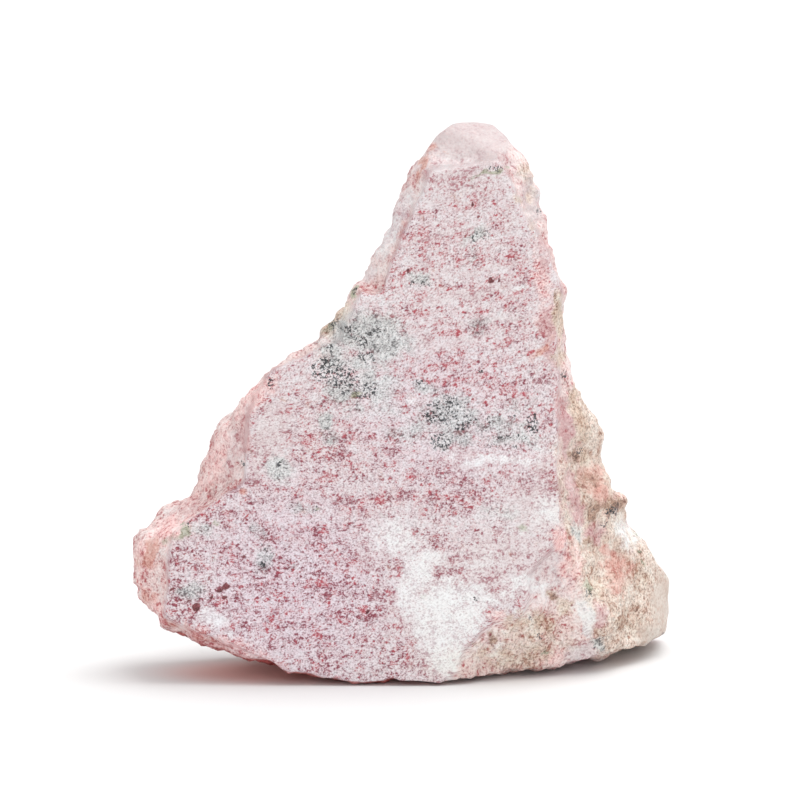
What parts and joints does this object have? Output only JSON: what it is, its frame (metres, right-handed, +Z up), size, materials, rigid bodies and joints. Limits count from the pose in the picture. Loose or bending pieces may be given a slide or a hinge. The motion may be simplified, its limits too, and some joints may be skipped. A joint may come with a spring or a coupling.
{
  "type": "tugtupite stone",
  "caption": "Rough triangular piece of pink tugtupite stone with a flat sawn front face and broken sides, standing on a small flat base.",
  "frame": {"origin": "centre of the stone's outline on the ground, at the level of its flat base", "axes": "+Z up; -Y is the side that the sawn face looks to; +X to the right of that face"},
  "size_m": [0.052, 0.0236, 0.0535],
  "materials": {
    "tugtupite": "fine-grained pink and white stone with crimson, grey and tan patches, matt sawn front, rough broken sides"
  },
  "bodies": {
    "root": {"tugtupite_stone": "tugtupite"}
  },
  "joints": []
}
